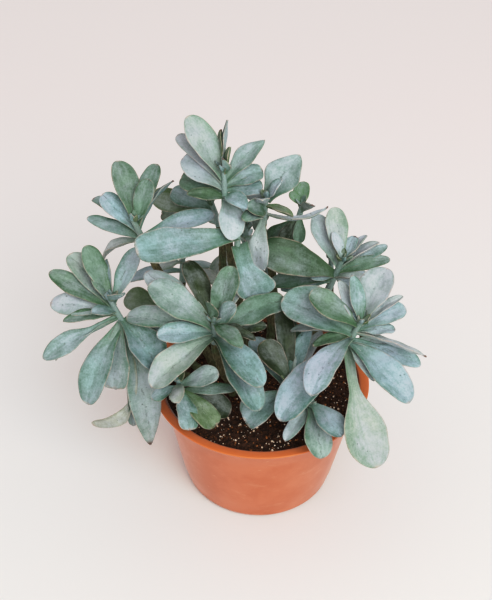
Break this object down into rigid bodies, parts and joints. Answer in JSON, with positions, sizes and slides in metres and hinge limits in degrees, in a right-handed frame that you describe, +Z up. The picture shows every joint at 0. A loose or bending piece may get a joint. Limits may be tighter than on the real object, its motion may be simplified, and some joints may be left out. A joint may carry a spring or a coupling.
{
  "type": "potted spoon-leaved succulent",
  "caption": "Branched succulent with flat, powdery blue-grey, spoon-shaped leaves, in potting mix in a round terracotta-coloured plastic pot with a flared lip.",
  "frame": {"origin": "centre of the pot's flat underside", "axes": "+Z up along the pot's axis, -Y towards the plant's front, +X to its right as seen from the front"},
  "size_m": [0.3208, 0.284, 0.3437],
  "materials": {
    "pot": "satin terracotta-coloured plastic, faintly scuffed",
    "soil": "matte, crumbly, dark bark and coir mix with pale perlite grains",
    "stem": "matte green-brown bark with leaf scars",
    "leaf": "powdery blue-grey wax bloom over green, with thin pink-brown margins"
  },
  "bodies": {
    "root": {"pot": "pot", "soil": "soil", "stem_top": "stem", "stem_inner_back": "stem", "stem_back_left": "stem", "stem_inner_left": "stem", "stem_left": "stem", "stem_centre": "stem", "stem_low_left": "stem", "stem_back_right": "stem", "stem_inner_right": "stem", "stem_right": "stem", "stem_front_right": "stem", "stem_low_middle": "stem", "stem_low_right": "stem", "stem_rear_left": "stem", "stem_rear_middle": "stem", "stem_rear_right": "stem", "stem_rear_low": "stem", "stem_rear_side": "stem", "head_back_left": "leaf", "head_top": "leaf", "head_middle": "leaf", "head_back_right": "leaf", "head_inner_right": "leaf", "head_inner_back": "leaf", "head_right": "leaf", "head_front_right": "leaf", "head_centre": "leaf", "head_inner_left": "leaf", "head_left": "leaf", "head_low_left": "leaf", "head_low_middle": "leaf", "head_low_right": "leaf", "head_rear_left": "leaf", "head_rear_middle": "leaf", "head_rear_right": "leaf", "head_rear_low": "leaf", "head_rear_side": "leaf"}
  },
  "joints": []
}
